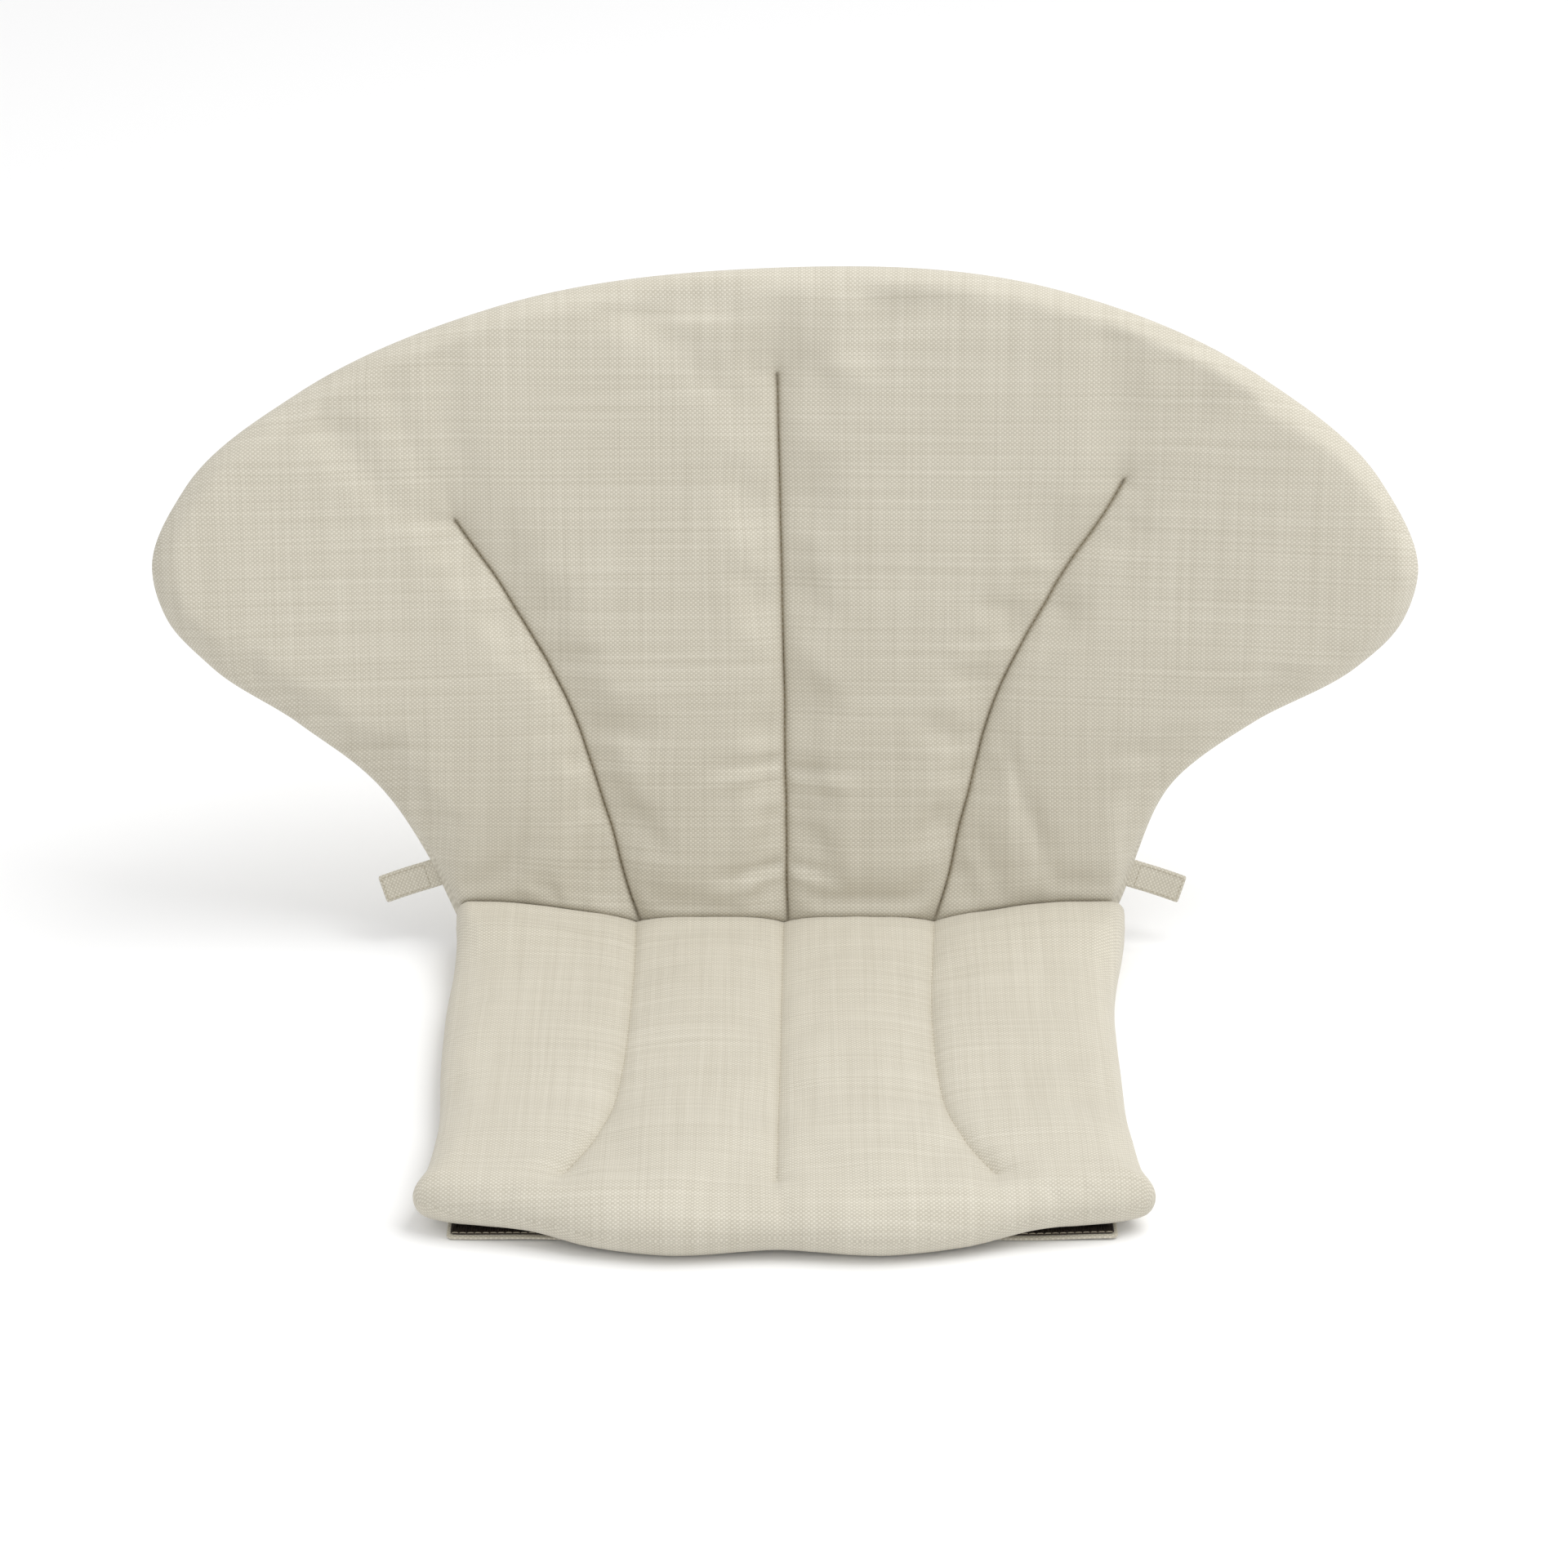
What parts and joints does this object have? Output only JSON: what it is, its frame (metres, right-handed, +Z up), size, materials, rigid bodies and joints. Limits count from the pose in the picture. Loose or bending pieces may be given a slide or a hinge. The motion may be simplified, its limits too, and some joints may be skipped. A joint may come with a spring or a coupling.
{
  "type": "chair seat pad",
  "caption": "Wrap-around padded chair cushion with a fan-shaped quilted back hinged to a quilted seat, two side tabs and a front fastening flap.",
  "frame": {"origin": "middle of the footprint, on the surface that the seat pad lies on", "axes": "+X to the right as seen from the front, +Y towards the back, +Z up; the seat lies flat and its front edge faces -Y"},
  "size_m": [0.5368, 0.3334, 0.2945],
  "materials": {
    "linen_cover": "matt plain weave, warm beige, slightly slubbed",
    "wadding": "white fibre wadding",
    "quilting_thread": "matt twisted sewing thread, sunk in the quilting",
    "topstitch_thread": "matt twisted sewing thread, matched to the cover",
    "hook_tape": "dark nylon hook tape"
  },
  "bodies": {
    "seat": {"seat_top_cover": "linen_cover", "seat_bottom_cover": "linen_cover", "seat_padding": "wadding", "fold_seam_strip": "linen_cover", "fold_seam_stitch": "quilting_thread", "seat_quilt_stitch_left": "quilting_thread", "seat_quilt_stitch_centre": "quilting_thread", "seat_quilt_stitch_right": "quilting_thread"},
    "back": {"back_front_cover": "linen_cover", "back_rear_cover": "linen_cover", "back_padding": "wadding", "back_quilt_stitch_left": "quilting_thread", "back_quilt_stitch_centre": "quilting_thread", "back_quilt_stitch_right": "quilting_thread"},
    "left_tab": {"left_tab_fabric": "linen_cover", "left_tab_hook_tape": "hook_tape", "left_tab_stitch": "topstitch_thread"},
    "right_tab": {"right_tab_fabric": "linen_cover", "right_tab_hook_tape": "hook_tape", "right_tab_stitch": "topstitch_thread"},
    "front_flap": {"front_flap_fabric": "linen_cover", "front_flap_hook_tape": "hook_tape", "front_flap_stitch": "quilting_thread"}
  },
  "joints": [
    {"name": "back_fold", "type": "hinge", "parent": "seat", "child": "back", "pos_m": [0, 0.09615, 0.011], "axis": [1, 0, 0], "range_deg": [-77, 53]},
    {"name": "left_tab_fold", "type": "hinge", "parent": "back", "child": "left_tab", "pos_m": [-0.1548, 0.10013, 0.03471], "axis": [0.309, -0.2083, -0.928], "range_deg": [-60, 90]},
    {"name": "right_tab_fold", "type": "hinge", "parent": "back", "child": "right_tab", "pos_m": [0.1548, 0.10013, 0.03471], "axis": [0.309, 0.2083, 0.928], "range_deg": [-60, 90]},
    {"name": "front_flap_fold", "type": "hinge", "parent": "seat", "child": "front_flap", "pos_m": [0, -0.13185, 0.0009], "axis": [1, 0, 0], "range_deg": [0, 165]}
  ]
}
